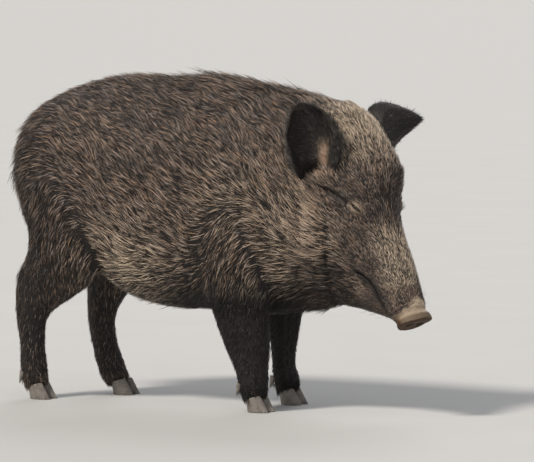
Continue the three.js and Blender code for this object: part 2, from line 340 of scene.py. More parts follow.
points = coordinates(skin.data)
along, right, up = in_head(points)
coarse = 1 - step(along, -0.08, -0.02) * step(points[:, 0], 0.22, 0.30)
group = skin.vertex_groups.new(name="plain")
for level in range(11):
    chosen = np.nonzero(np.round(coarse * 10) == level)[0]
    group.add([int(i) for i in chosen], level / 10, "REPLACE")
apply_modifier(skin, "TRIANGULATE")
apply_modifier(skin, "DECIMATE", ratio=SHARE_KEPT, vertex_group="plain", vertex_group_factor=1.0)
skin.vertex_groups.clear()
print("thinned skin:", len(skin.data.polygons), "triangles")

# %% [markdown]
# The nostrils, the lips and the surroundings of the eyes need a finer net than the rest, so the faces there
# are picked by their place in the head's frame and cut in four.

# %% Finer net where the face has detail
EYES = {"right": head_point(0.220, 0.064, -0.037), "left": head_point(0.220, -0.064, -0.037)}


def cut_finer(thing, wanted):
    mesh = thing.data
    work_on(thing)
    bpy.ops.object.mode_set(mode="EDIT")
    bpy.ops.mesh.select_all(action="DESELECT")
    bpy.ops.object.mode_set(mode="OBJECT")
    inside = wanted(coordinates(mesh))
    mesh.vertices.foreach_set("select", inside)
    ends = read(mesh.edges, "vertices", 2, np.int32)
    mesh.edges.foreach_set("select", inside[ends].all(1))
    bpy.ops.object.mode_set(mode="EDIT")
    bpy.ops.mesh.subdivide(number_cuts=1)
    bpy.ops.object.mode_set(mode="OBJECT")


def near_detail(p):
    a, r, u = in_head(p)
    snout = a > 0.452
    lips = (a > 0.34) & (u > -0.105) & (u < -0.045) & (a < 0.46)
    lids = np.min([np.linalg.norm(p - e, axis=1) for e in EYES.values()], axis=0) < 0.034
    return snout | lips | lids


cut_finer(skin, near_detail)
apply_modifier(skin, "TRIANGULATE")
print("with detail:", len(skin.data.polygons), "triangles")

# %% [markdown]
# A few helpers let values flow over the skin from point to neighbouring point. The same helper smooths the
# shape, and smooths the numbers that say how deep, how long and which way the hair lies.

# %% Helpers that work along the skin
skin_edges = read(skin.data.edges, "vertices", 2, np.int32)
neighbours = np.bincount(skin_edges.ravel(), minlength=len(skin.data.vertices)).astype(float)


def spread(values, times, share=0.5):
    flat = np.asarray(values, float)
    out = flat.reshape(len(flat), -1).copy()
    for _ in range(times):
        for k in range(out.shape[1]):
            column = out[:, k]
            near = np.bincount(skin_edges[:, 0], column[skin_edges[:, 1]], len(column))
            near += np.bincount(skin_edges[:, 1], column[skin_edges[:, 0]], len(column))
            out[:, k] = column + share * (near / neighbours - column)
    return out.reshape(flat.shape)


def smooth_shape(points, times):
    for _ in range(times):
        points = spread(points, 1, 0.55)
        points = spread(points, 1, -0.57)
    return points


def skin_normals(points):
    put_coordinates(skin.data, points)
    return normals_of(skin.data)


points = smooth_shape(coordinates(skin.data), 12)
put_coordinates(skin.data, points)
print("edges of the skin:", len(skin_edges))

# %% [markdown]
# Each point of the skin is told which solid it came from. A table then gives, for each part of the body, how
# deep the coat is, how long, wide and raised its tufts are, and how many grow on a square centimetre. These
# numbers are the tailor's card of a wild boar in winter. With the changes made after it, the hair is about
# five centimetres long on the back, one on the muzzle, and there is none on the snout.

# %% The tailor's card
#              depth   length  width   lift  coat  undercoat  (metres, metres, metres, degrees, tufts per cm2)
CARD = {
    "trunk": (0.0090, 0.034, 0.0014, 14, 2.6, 10.4),
    "neck": (0.0100, 0.035, 0.0013, 17, 3.6, 14.4),
    "head": (0.0048, 0.020, 0.0011, 15, 5.4, 21.4),
    "lower_jaw": (0.0040, 0.018, 0.0011, 15, 5.6, 22.0),
    "snout_disc": (0.0004, 0.003, 0.0008, 10, 0.0, 0.0),
    "ear": (0.0012, 0.015, 0.0009, 12, 5.8, 23.5),
    "tail": (0.0050, 0.028, 0.0016, 14, 6.0, 15.0),
    "leg_upper": (0.0070, 0.032, 0.0019, 13, 2.8, 8.3),
    "leg_lower": (0.0045, 0.019, 0.0015, 11, 2.4, 12.8),
    "foot": (0.0030, 0.013, 0.0013, 11, 3.0, 17.5),
}
PARTS = list(CARD)
HEAD_PARTS = ("head", "lower_jaw", "snout_disc")
DEPTH, LENGTH, WIDTH, LIFT, COAT, UNDERCOAT = range(6)


def part_of(node):
    if node.startswith("leg"):
        return "leg_upper" if node.endswith("upper") else "leg_lower"
    for part in ("ear", "foot"):
        if node.startswith(part):
            return part
    return node


tree_points, tree_faces, tree_part, tree_node = [], [], [], []
for node in flesh:
    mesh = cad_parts[node].data
    start = len(tree_points)
    tree_points.extend(v.co.copy() for v in mesh.vertices)
    for face in mesh.polygons:
        tree_faces.append([start + i for i in face.vertices])
        tree_part.append(PARTS.index(part_of(node)))
        tree_node.append(flesh.index(node))
flesh_tree = BVHTree.FromPolygons(tree_points, tree_faces)
nearest = np.array([flesh_tree.find_nearest(Vector(p))[2] for p in points])
part = np.array(tree_part)[nearest]
source_node = np.array(tree_node)[nearest]
card = np.array([CARD[p] for p in PARTS])[part]
card = spread(card, 40)


def made_of(*names):
    return np.isin(part, [PARTS.index(name) for name in names]).astype(float)


def per_part(found):
    return dict(zip(PARTS, np.bincount(found, minlength=len(PARTS)).tolist()))


print("skin points per part:", per_part(part))

# %% [markdown]
# The card is then altered in places. Three short words do it: one adds to its columns where a field is one,
# one multiplies them, and one changes how many tufts grow.

# %% Words for altering the card


def card_plus(field, depth=0.0, length=0.0, width=0.0, lift=0.0):
    card[:, :COAT] += np.outer(field, (depth, length, width, lift))


def card_times(field, depth=0.0, length=0.0, width=0.0, lift=0.0):
    card[:, :COAT] *= 1 + np.outer(field, (depth, length, width, lift))


def thin_out(share):
    card[:, COAT:] *= np.asarray(share)[:, None]


print("longest hair on the card:", max(row[LENGTH] for row in CARD.values()), "m")

# %% Longer hair on the crest, shorter hair round the eyes and on the muzzle
normals = spread(skin_normals(points), 6)
along, right, up = in_head(points)
on_body, on_head = spread(made_of("trunk", "neck"), 30), spread(made_of(*HEAD_PARTS), 6)
on_foot = made_of("foot")
crest = on_body * step(normals[:, 2], 0.55, 0.95) * step(points[:, 0], -0.42, -0.10)
card_plus(crest, depth=0.008, length=0.015, lift=4)
hams = on_body * (1 - step(points[:, 0], -0.50, -0.42)) * step(points[:, 2], 0.34, 0.44)
card_plus(hams, length=0.008, lift=5)
muzzle = on_head * step(along, 0.26, 0.42)
card_times(muzzle, depth=-0.45, length=-0.40, width=-0.22)
card_plus(muzzle, lift=1)
thin_out(1 + 0.10 * muzzle)
for eye_place in EYES.values():
    close = bell(np.linalg.norm(points - eye_place, axis=1), 0.034)
    card_times(close, depth=-0.45, length=-0.62, width=-0.38)
cheek = on_head * step(-up, 0.06, 0.16) * (1 - step(along, 0.33, 0.44))
card_plus(cheek, depth=0.006, length=0.016, width=0.0008, lift=6)
ragged = 0.0010 * waves(points, 0.009, 61) + 0.0012 * waves(points, 0.020, 62)
bare_from = np.where(up > -0.045, np.minimum(0.446 + 0.65 * np.abs(right), 0.475), 0.475) + ragged
bare_snout = step(along - bare_from, -0.006, 0.009) * on_head
rust = on_head * step(along, 0.405, 0.440) * step(up, -0.05, -0.02)
thin_out(1 - bare_snout)
card_times(rust, length=-0.35)
coronet = on_foot * (1 - step(points[:, 2], 0.055, 0.075))
card_times(coronet, length=0.45)
card_plus(coronet, lift=5)
thin_out(1 + 0.8 * coronet)
print("coat depth from", card[:, DEPTH].min().round(4), "to", card[:, DEPTH].max().round(4), "m")

# %% [markdown]
# The solids reach out to the tips of the hair, so the skin is now drawn in by the depth of the coat, in a few
# rounds with a little smoothing between them. Where the head meets the neck it stays almost where it is, or
# the hair of the cheek would sink into the fold there.

# %% Draw the skin in by the coat's depth
DRAW_IN_ROUNDS = 4
on_ear = spread(made_of("ear"), 4)
seam = spread(on_head, 90)
fold = step(seam, 0.08, 0.30) * (1 - step(seam, 0.88, 0.985)) * (1 - on_ear)
fold = spread(np.clip(fold * 1.2, 0, 1), 6)
card_times(fold, depth=-0.85)
for _ in range(DRAW_IN_ROUNDS):
    normals = spread(skin_normals(points), 3)
    points = points - normals * (card[:, [DEPTH]] / DRAW_IN_ROUNDS)
    points = spread(points, 1, 0.25)
sole = on_foot * step(-skin_normals(points)[:, 2], 0.3, 0.8)
points[:, 2] -= 0.006 * sole
put_coordinates(skin.data, points)
print("skin box:", points.min(0).round(3), points.max(0).round(3))

# %% [markdown]
# Where the cheeks meet the neck the solids leave a deep fold. On the animal the hide spans it, so the skin
# there is relaxed until it is a shallow dip, and the fur of the cheek can run over it to the shoulder.

# %% Span the fold behind the cheeks
cheek_fold = fold * step(-up, 0.03, 0.09)
card[:, LENGTH] += 0.003 * fold + 0.009 * cheek_fold
card_plus(cheek_fold, lift=2)
thin_out(1 + 0.20 * fold + 0.25 * cheek_fold)
for _ in range(6):
    relaxed = spread(points, 45)
    points = points + fold[:, None] * (relaxed - points) + 0.0005 * cheek_fold[:, None] * skin_normals(points)
put_coordinates(skin.data, points)
print("points in the fold:", int((fold > 0.5).sum()))

# %% [markdown]
# ## Modelling the face
# The snout ends in a bare, flat disc that the boar digs with. It has a soft rim, a shallow dish with two
# oval nostrils, and transverse folds behind it where the skin bunches up. The mouth is a long slit under it:
# the upper lip hangs a little over the lower one. Each is a small push of the skin's points along a
# direction, weighted by the distance from a line or a spot.

# %% Snout disc, nostrils and folds
FOLD_PITCH = 0.0092
along, right, up = in_head(points)
normals = spread(skin_normals(points), 1)
facing = normals @ FACE_AXIS
disc_across = np.hypot(right / 0.041, (up + 0.041) / 0.038)
front = step(facing, 0.35, 0.75) * step(along, 0.478, 0.49)
dish = 0.0035 * front * np.clip(1 - disc_across**2, 0, 1)
nostril = np.zeros(len(points))
for way_out in (1, -1):
    out = right * way_out - 0.0165
    hole = np.hypot(out / 0.0080, (up + 0.0375 + 0.15 * out) / 0.0105)
    nostril = np.maximum(nostril, 1 - step(hole, 0.55, 1.15))
points = points - FACE_AXIS * (dish + 0.014 * front * nostril)[:, None]
side_skin = (1 - step(facing, 0.3, 0.7)) * step(along, 0.43, 0.45)
behind_rim = bell(along - 0.4800 + 0.10 * (up + 0.04), 0.0075)
fold_place = along - 0.474 + 0.12 * (up + 0.04) + 0.0012 * waves(points, 0.02, 31)
folds = 0.5 - 0.5 * np.cos(fold_place * 2 * math.pi / FOLD_PITCH)
flat_part = step(up, -0.06, -0.03) * (1 - step(along, 0.470, 0.478))
ridge = side_skin * (0.0034 * behind_rim + 0.0009 * folds * flat_part)
points = points - normals * ridge[:, None]
upper_edge = np.clip((up + 0.041) / 0.036, 0, 1) * step(along, 0.472, 0.492) * on_head
points = points + FACE_AXIS * (0.0075 * upper_edge)[:, None]
put_coordinates(skin.data, points)
print("nostrils:", int((nostril * front > 0.5).sum()), "points, dish", dish.max().round(4), "m deep")

# %% Mouth, lips and chin
LIPS = [(0.352, -0.090), (0.366, -0.078), (0.380, -0.071), (0.398, -0.067), (0.430, -0.068), (0.474, -0.069)]


def to_line(a, u, stations):
    best = np.full(len(a), 9.0)
    above = np.zeros(len(a))
    spots = np.stack([a, u], 1)
    for first, second in zip(stations[:-1], stations[1:]):
        first, second = np.array(first), np.array(second)
        d = second - first
        t = np.clip((spots - first) @ d / (d @ d), 0, 1)
        rel = spots - (first + t[:, None] * d)
        far = np.linalg.norm(rel, axis=1)
        closer = far < best
        best = np.where(closer, far, best)
        above = np.where(closer, rel[:, 1], above)
    return best, above


along, right, up = in_head(points)
normals = spread(skin_normals(points), 1)
from_lips, over_lips = to_line(along, up, LIPS)
mouth = on_head * step(np.abs(right), 0.008, 0.018) * (1 - step(along, 0.472, 0.480))
slit = bell(from_lips, 0.0030) * mouth
upper_lip = bell(from_lips, 0.005, 0.007) * (over_lips > 0) * mouth
lower_lip = mouth * (over_lips <= 0) * step(from_lips, 0.0, 0.006)
lower_lip = lower_lip * (1 - step(from_lips, 0.016, 0.030)) * step(along, 0.36, 0.39)
points = points + normals * (0.0022 * upper_lip - 0.0028 * lower_lip - 0.0080 * slit)[:, None]
put_coordinates(skin.data, points)
# A band along the mouth slit; below it is darkened as painted shade.
lip_shade_band = bell(from_lips, 0.0110) * mouth
thin_out(1 - 0.7 * slit)
card[:, LENGTH] *= 1 - 0.45 * bell(from_lips, 0.010) * mouth
print("points of the lips:", int((lip_shade_band > 0.5).sum()))

# %% [markdown]
# A crease runs from under the ear to the outer corner of the eye, where the skin folds each time the boar
# blinks or lays its ears back. It is a shallow groove with a low roll of skin above it.

# %% Temple crease
TEMPLE = [(0.142, -0.096), (0.158, -0.075), (0.178, -0.058), (0.195, -0.047), (0.207, -0.040)]
along, right, up = in_head(points)
from_crease, over_crease = to_line(along, up, TEMPLE)
temple = on_head * step(np.abs(right), 0.05, 0.07)
groove = bell(from_crease, 0.0050) * temple
roll = bell(from_crease, 0.007, 0.011) * (over_crease > 0) * temple
points = points + spread(skin_normals(points), 1) * (0.0035 * roll - 0.0060 * groove)[:, None]
put_coordinates(skin.data, points)
thin_out(1 - 0.5 * groove)
card_times(groove, length=-0.4)
print("points of the crease:", int((groove > 0.5).sum()))

# %% [markdown]
# The ear is a leaf rolled at its front edge. Its own frame runs from base to tip, with the hollow facing out;
# the inner face is pressed back to deepen the cup, most of all low down where the ear canal opens.

# %% Hollow of the ears
EARS = {
    "right": (head_point(0.128, 0.106, -0.084), head_point(-0.030, 0.160, -0.010), (0.25, 0.75, 0.6)),
    "left": (head_point(0.080, -0.074, -0.026), head_point(0.028, -0.194, 0.008), (-0.05, -0.5, -0.7)),
}
STATIONS = np.linspace(0.15, 0.95, 9)
ear_frames = {}
hollow, ear_reach, ear_front = np.zeros((3, len(points)))
normals = spread(skin_normals(points), 2)
for side, (base, tip, facing) in EARS.items():
    own = source_node == flesh.index("ear_" + side)
    length = unit(tip - base)
    out = facing[0] * FACE_AXIS + facing[1] * FACE_RIGHT + facing[2] * FACE_UP
    out = unit(out - (out @ length) * length)
    front_side = np.cross(length, out)
    if front_side @ FACE_AXIS < 0:
        front_side = -front_side
    ear_frames[side] = (base, np.linalg.norm(tip - base), length, out, front_side)
    rel = points - base
    reach = rel @ length / np.linalg.norm(tip - base)
    wide = rel @ front_side
    middle = np.array([wide[own & (np.abs(reach - k) < 0.1)].mean() for k in STATIONS])
    half = np.array([np.ptp(wide[own & (np.abs(reach - k) < 0.05)]) / 2 for k in STATIONS])
    offset = (wide - np.interp(reach, STATIONS, middle)) / np.interp(reach, STATIONS, half)
    inner = own * step(normals @ out, 0.05, 0.45) * (1 - step(np.abs(offset), 0.55, 0.95))
    hollow = np.maximum(hollow, inner)
    ear_reach = np.where(own, reach, ear_reach)
    ear_front = np.where(own, offset, ear_front)
    print("ear", side, "half widths", half.round(3))
hollow = spread(hollow, 3)
canal = hollow * blob(np.stack([ear_reach, ear_front], 1), (0.10, 0.05), (0.09, 0.5))
near_ear = (source_node == flesh.index("ear_right")).astype(float)
back_of_ear = on_ear * (1 - step(normals @ ear_frames["right"][3], -0.3, 0.2))
ear_depth = 0.0022 * hollow * (1 - step(ear_reach, 0.75, 1.0)) + 0.012 * canal
points = points - normals * ear_depth[:, None]
put_coordinates(skin.data, points)

# %% [markdown]
# ## Eyes
# A boar's eye is small, dark brown and deep under the brow. The ball is a fine sphere with a slightly raised
# cornea. It is turned so that the rings of the sphere run round the line of sight, which lets one number per
# point, the angle from that line, colour the pupil, the iris and the white.

# %% Eyeballs
EYE_RADIUS = 0.0130


def eye_ball(name, node, centre, sight):
    bpy.ops.mesh.primitive_uv_sphere_add(segments=48, ring_count=32, radius=EYE_RADIUS)
    ball = bpy.context.object
    ball.name = name
    mesh = ball.data
    p = coordinates(mesh)
    angle = np.arccos(np.clip(p[:, 2] / EYE_RADIUS, -1, 1))
    p *= (1 + 0.07 * bell(angle, 0.42))[:, None]
    z = unit(np.asarray(sight, float))
    x = unit(np.cross([0.0, 0.0, 1.0], z))
    y = np.cross(z, x)
    put_coordinates(mesh, centre + p[:, :1] * x + p[:, 1:2] * y + p[:, 2:] * z)
    set_numbers(mesh, ring=angle)
    mesh.shade_smooth()
    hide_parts(node)
    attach(ball, "root")
    return ball


def head_way(along, right, up):
    return unit(along * FACE_AXIS + right * FACE_RIGHT + up * FACE_UP)


SIGHT = {"right": head_way(0.10, 0.86, 0.50), "left": head_way(0.10, -0.86, 0.50)}
eyes = {}
for side, centre in EYES.items():
    eyes[side] = eye_ball("eyeball_" + side, "eye_" + side, centre, SIGHT[side])

EYE_TONES = (
    (0.22, (0.002, 0.002, 0.003)),
    (0.27, (0.045, 0.018, 0.008)),
    (0.55, (0.020, 0.009, 0.005)),
    (0.75, (0.05, 0.035, 0.028)),
    (1.00, (0.10, 0.075, 0.06)),
)
eye_glass = Finish("boar eye")
eye_tone = eye_glass.tones(eye_glass.number("ring"), *EYE_TONES)
eye_glass.finish(Base_Color=eye_tone, Roughness=0.06, IOR=1.38, Coat_Weight=0.8, Coat_Roughness=0.03)
for ball in eyes.values():
    ball.data.materials.append(eye_glass.paint)
print("eyeballs:", [o.name for o in eyes.values()])

# %% [markdown]
# The skin must not cover the eyes. Round each one it is pressed back inside the ball, and a sleeve of lid,
# thick at its rim and folded once, closes the gap between skin and eye. The upper lid hangs lower than the
# lower lid rises, which gives the narrow, sleepy slit of a boar. Each ring of the sleeve is an almond; it
# rests on the ball where the ball stands proud, and on the hide where the hide does.

# %% Lids
#        half length, upper reach, lower reach, height over the ball, height over the hide
LID_RINGS = (
    (0.0116, 0.0023, 0.0019, -0.0006, -0.0200),
    (0.0124, 0.0031, 0.0026, 0.0010, -0.0030),
    (0.0136, 0.0050, 0.0042, 0.0024, -0.0005),
    (0.0152, 0.0080, 0.0068, 0.0030, 0.0014),
    (0.0168, 0.0100, 0.0088, 0.0002, -0.0010),
    (0.0192, 0.0134, 0.0118, 0.0022, 0.0018),
    (0.0226, 0.0172, 0.0150, -0.0010, 0.0002),
    (0.0262, 0.0208, 0.0182, -0.0060, -0.0030),
)
LID_STEPS = 56
hide_tree = BVHTree.FromPolygons([Vector(p) for p in points], [tuple(f.vertices) for f in skin.data.polygons])
lid_points, lid_tris, lid_spots = [], [], []
for side, centre in EYES.items():
    sight = SIGHT[side]
    slit_way = 0.81 * FACE_AXIS + 0.58 * FACE_UP
    slit_way = unit(slit_way - (slit_way @ sight) * sight)
    brow_way = np.cross(sight, slit_way)
    if brow_way @ (FACE_UP - FACE_AXIS) < 0:
        brow_way = -brow_way
    start = len(lid_points)
    for half, upper, lower, over_ball, over_hide in LID_RINGS:
        for k in range(LID_STEPS):
            turn = 2 * math.pi * k / LID_STEPS
            u = half * math.cos(turn) * (1 + 0.06 * math.cos(turn))
            v = (upper if math.sin(turn) > 0 else lower) * math.sin(turn)
            v -= 0.0012 * math.cos(turn)
            far = math.hypot(u, v)
            ball_level = math.sqrt(max((EYE_RADIUS + over_ball) ** 2 - far**2, 0.0))
            spot = centre + u * slit_way + v * brow_way
            hit = hide_tree.ray_cast(Vector(spot + 0.06 * sight), Vector(-sight))[0]
            hide_level = (np.array(hit) - centre) @ sight if hit else 0.0
            lid_points.append(spot + max(ball_level, hide_level + over_hide) * sight)
    for ring in range(len(LID_RINGS) - 1):
        for k in range(LID_STEPS):
            a0 = start + ring * LID_STEPS + k
            b0 = start + ring * LID_STEPS + (k + 1) % LID_STEPS
            quad = (a0, a0 + LID_STEPS, b0 + LID_STEPS, b0)
            if np.cross(slit_way, brow_way) @ sight < 0:
                quad = quad[::-1]
            lid_tris += [(quad[0], quad[1], quad[2]), (quad[0], quad[2], quad[3])]
    lid_spots.append((centre, sight, slit_way, brow_way, start))
lid_points = np.array(lid_points)
for side, centre in EYES.items():
    sight = SIGHT[side]
    rel = points - centre
    depth = rel @ sight
    off = np.linalg.norm(rel - depth[:, None] * sight, axis=1)
    inside = (off < 0.019) & (depth > -0.02) & (depth < 0.04)
    floor_level = 0.002 + 0.012 * step(off, 0.012, 0.019)
    new_depth = np.where(inside, np.minimum(depth, floor_level), depth)
    points = points + (new_depth - depth)[:, None] * sight
put_coordinates(skin.data, points)
print("lid points:", len(lid_points))

# %% [markdown]
# ## Markings
# Numbers at each point say how pale (`buff`), how black (`dusk`) and how bare (`bare`) the surface is. They
# are plain functions of the place on the body, so skin and hair agree wherever a gap in the coat lets the
# skin show. This boar is palest on crown, nose and ruff and in the fold of the flank; crown and nose carry
# painted light as well, and the pale patches on ribs and jaw are painted light only. It is darkest on the
# ears and down the legs; along the lips, in the temple crease, under jaw, chest and belly, at the elbow, low
# on the rump and down the side of the muzzle the dark is painted shade, partly over darker hair. Two more
# numbers, for the skin alone, mark the disc of the snout with painted shade under it (`pad`), and the
# hollows of nostrils, ears, mouth and lid rims, darkened as painted shade over their wet lining (`dark_wet`).

# %% Colour marks
#             strength, x, z, width, height
BUFF_SIDE = (
    (1.10, -0.16, 0.31, 0.12, 0.10),
    (0.45, 0.19, 0.25, 0.09, 0.07),
    (0.50, 0.225, 0.375, 0.040, 0.075),
)
# The pale patch on the ribs is painted light: a pool of light painted on the coat.
PAINTED_LIGHT_RIBS = (0.50, 0.12, 0.47, 0.09, 0.09)
# Low on the rump, at the elbow and before the hind thigh: partly darker hair, partly painted shade under the
# body.
RUMP_DARK_AND_SHADE = (0.45, -0.47, 0.40, 0.10, 0.22)
ELBOW_AND_FLANK_DARK_AND_SHADE = ((0.45, 0.10, 0.24, 0.12, 0.06), (0.30, -0.38, 0.30, 0.10, 0.12))
# Down the side of the muzzle: partly darker hair, partly painted shade on the muzzle's shaded side.
#             place in the head's frame, size
MUZZLE_DARK_AND_SHADE = (
    ((0.255, 0.045, -0.014), 0.024),
    ((0.283, 0.070, -0.043), 0.026),
    ((0.312, 0.086, -0.082), 0.027),
)


def patch(p, strength, x, z, wide, high):
    return strength * bell(p[:, 0], wide, x) * bell(p[:, 2], high, z)


def marks(p):
    a, r, u = in_head(p)
    z = p[:, 2]
    face = np.stack([a, np.abs(r), u], 1)
    head = step(a, -0.10, 0.02) * step(p[:, 0], 0.20, 0.30)
    body = 1 - head
    ridge = (1 - 0.9 * step(a, 0.405, 0.44)) * (1 - 0.85 * step(np.abs(r), 0.040, 0.064))
    buff = sum(patch(p, *spot) for spot in BUFF_SIDE) + patch(p, *PAINTED_LIGHT_RIBS) * body
    buff += 0.34 * head * step(-u, 0.05, 0.12) * (1 - step(a, 0.27, 0.37))
    # A painted highlight on the bulge of the lower jaw.
    buff += 0.30 * head * blob(face, (0.385, 0.067, -0.100), (0.024, 0.03, 0.022))
    # Nose ridge and crown: paler hair, made paler still as painted light on the top of the head.
    buff += 0.98 * head * step(a, 0.25, 0.33) * step(u, -0.065, -0.025) * ridge
    buff += 0.98 * head * (1 - step(a, 0.05, 0.19)) * step(u, -0.10, -0.02)
    behind = 1 - step(p[:, 0], -0.30, -0.15)
    dusk = (0.78 - 0.36 * behind) * (1 - step(z, 0.12, 0.30)) * body
    # The dark under the chest and belly is partly darker hair and partly painted shade under the body.
    dusk += 0.66 * (1 - step(z, 0.25, 0.33)) * step(p[:, 0], -0.14, -0.03) * body
    dusk += 0.20 * step(z, 0.66, 0.74) * body
    dusk += patch(p, *RUMP_DARK_AND_SHADE) + sum(patch(p, *spot) for spot in ELBOW_AND_FLANK_DARK_AND_SHADE) * body
    # The dark under the jaw is partly darker hair and partly painted shade under the head.
    dusk += 0.72 * head * step(-u, 0.095, 0.14) * step(a, 0.25, 0.33)
    for place, size in MUZZLE_DARK_AND_SHADE:
        dusk += 0.50 * head * blob(face, place, (size, 0.030, size))
    dusk += 0.26 * head * blob(face, (0.165, 0.085, -0.020), (0.040, 0.030, 0.035))
    # Painted shade on the dark side of the snout, between the pale ridge and the mouth.
    dusk += 0.34 * head * blob(face, (0.400, 0.066, -0.066), (0.055, 0.020, 0.030))
    return np.clip(buff, 0, 1), np.clip(dusk, 0, 1)


buff, dusk = marks(points)
# Ears are black; the band along the lips and the temple crease are darkened as painted shade.
dusk = np.clip(dusk + 0.95 * on_ear + 0.80 * lip_shade_band + 0.75 * groove, 0, 1)
streak = step(ear_front - 0.30 * (0.45 - ear_reach), 0.00, 0.26) * (1 - step(ear_front, 0.36, 0.62))
inner_ear = hollow * streak * (1 - step(ear_reach, 0.26, 0.52)) * (1 - 0.6 * canal)
burr = blob(points, head_point(0.118, 0.101, -0.068), (0.014, 0.014, 0.018))
inner_ear = spread(np.maximum(inner_ear, 0.8 * burr * (1 - back_of_ear)), 1)
bare = np.clip(bare_snout + inner_ear, 0, 1)
dusk = np.clip(dusk * (1 - 0.8 * inner_ear), 0, 1)
thin_out(1 + 0.15 * hollow - 0.60 * np.clip(inner_ear, 0, 1))
card[:, LENGTH] *= 1 + 0.35 * hollow - 0.30 * burr
card_times(hollow, width=-0.20)
rim = on_ear * step(np.abs(ear_front), 0.70, 0.95) * (ear_reach > 0.1)
front_rim = near_ear * step(ear_front, 0.50, 0.80) * (ear_reach > 0.1)
back_rim = near_ear * (1 - step(ear_front, -0.80, -0.30)) * (ear_reach > 0.05)
card[:, LENGTH] *= 1 + 0.10 * rim + 0.65 * front_rim + 0.60 * back_rim
card_plus(front_rim, lift=14)
thin_out(1 + 0.5 * front_rim + 0.4 * back_rim)
far_rim = (1 - near_ear) * on_ear * (ear_reach > 0.25)
card_times(far_rim, length=-0.22, lift=-0.45)
rim_edge = step(along, 0.482, 0.492)
# The disc's face is dark brown skin, made darker still as painted shade; under the snout the skin gets the
# same dark as painted shade only.
shaded_underside = 1 - step(up, -0.060, -0.030)
pad = np.clip(front + 0.75 * rim_edge + 0.35 * behind_rim * side_skin + 0.6 * shaded_underside, 0, 1)
set_numbers(
    skin.data,
    buff=buff,
    dusk=dusk,
    bare=bare,
    # Nostrils, ear canals and the mouth slit are darkened as painted shade in these hollows, over their wet
    # lining.
    dark_wet=np.clip(2.6 * spread(nostril * front, 3) + 0.6 * canal + 0.8 * slit, 0, 1),
    pad=pad * bare_snout,
    along=0.16 + 0.16 * on_head + 0.16 * muzzle,
    shade=np.zeros(len(points)),
    warmth=0.4 + 0.6 * inner_ear - 0.4 * bare_snout,
)
print("mean buff", buff.mean().round(3), "mean dusk", dusk.mean().round(3))

# %% [markdown]
# ## Coat colours
# Each hair is nearly black at its root and bleached at its tip. One recipe serves the skin and every tuft: it
# reads the place along the hair and the marks, and mixes a dark root with grey, rust, buff or black tips.
# Fine noise on the object's own coordinates keeps two neighbouring tufts from matching.

# %% Coat material
ROOT = (0.0120, 0.0092, 0.0082)
GREY_TIP = (0.390, 0.325, 0.290)
RUST_TIP = (0.500, 0.305, 0.180)
BUFF_TIP = (0.800, 0.640, 0.470)
BLACK_TIP = (0.0075, 0.0068, 0.0074)
BARE_SKIN = (0.500, 0.400, 0.285)
PINK_SKIN = (0.400, 0.250, 0.172)
# The disc's dark brown, also used as painted shade under the snout.
PAD_SKIN = (0.056, 0.029, 0.013)
SPECKLE_AND_CREASE_SHADE = (0.110, 0.070, 0.042)
CREASE_PITCH = 0.0050


def drawn_out_noise(coat):
    """Noise drawn out along the lie of the hair: the finest down between the tufts."""
    grain_way = coat.add("Attribute", attribute_name="grain_way").outputs["Vector"]
    place = coat.place()
    downhill = coat.add("VectorMath", {0: place, 1: grain_way}, operation="DOT_PRODUCT").outputs["Value"]
    slide = coat.math("MULTIPLY", downhill, -0.86)
    slide = coat.add("VectorMath", {0: grain_way, "Scale": slide}, operation="SCALE").outputs["Vector"]
    drawn = coat.add("VectorMath", {0: place, 1: slide}, operation="ADD").outputs["Vector"]
    return coat.noise(950, 1, drawn)


def snout_creases(coat):
    """Creases cross the top of the snout: a wave down the face, bent by noise, kept near its crest. The dark
    lines it gives are painted shade in the creases.
    """
    down = tuple(FACE_AXIS + 0.10 * FACE_UP)
    down = coat.add("VectorMath", {0: coat.place(), 1: down}, operation="DOT_PRODUCT").outputs["Value"]
    phase = coat.math("MULTIPLY", down, 2 * math.pi / CREASE_PITCH)
    phase = coat.math("ADD", phase, coat.math("MULTIPLY", coat.noise(90, 3), 16.0))
    return coat.remap(coat.math("SINE", phase), 0.62, 1.0, 0.46)


def bare_parts(coat, colour):
    warmth = coat.number("warmth")
    spots = coat.math("MAXIMUM", snout_creases(coat), coat.remap(coat.noise(620), 0.50, 0.64, 0.80))
    spots = coat.math("MULTIPLY", spots, coat.math("SUBTRACT", 1.0, warmth))
    # Dark speckle of the bare skin, and painted shade along the snout's creases.
    naked = coat.mix(spots, coat.mix(warmth, BARE_SKIN, PINK_SKIN), SPECKLE_AND_CREASE_SHADE)
    for mark, tint in (("bare", naked), ("pad", PAD_SKIN), ("dark_wet", ROOT)):
        colour = coat.mix(coat.number(mark), colour, tint)
    return colour


def coat_material(name, skin_side):
    coat = Finish(name)
    tip = coat.math("ADD", coat.number("along"), coat.math("MULTIPLY", coat.number("shade"), 0.50))
    tip = coat.math("ADD", tip, coat.math("MULTIPLY_ADD", coat.noise(38, 3), 0.5, -0.25))
    if skin_side:
        tip = coat.math("ADD", tip, coat.math("MULTIPLY_ADD", drawn_out_noise(coat), 1.6, -0.80))
    bleached = coat.remap(tip, 0.36, 1.18, interpolation_type="SMOOTHSTEP")
    pale = GREY_TIP
    for mark, tint in (("warmth", RUST_TIP), ("buff", BUFF_TIP), ("dusk", BLACK_TIP)):
        pale = coat.mix(coat.number(mark), pale, tint)
    colour = coat.mix(bleached, ROOT, pale)
    if not skin_side:
        return coat.finish(Base_Color=colour, Roughness=0.42, Specular_IOR_Level=0.45)
    pores = coat.add("TexVoronoi", {"Vector": coat.place(), "Scale": 420}).outputs["Distance"]
    coat.bump(pores, 0.35, 0.0006)
    return coat.finish(Base_Color=bare_parts(coat, colour), Roughness=0.60, Specular_IOR_Level=0.28)


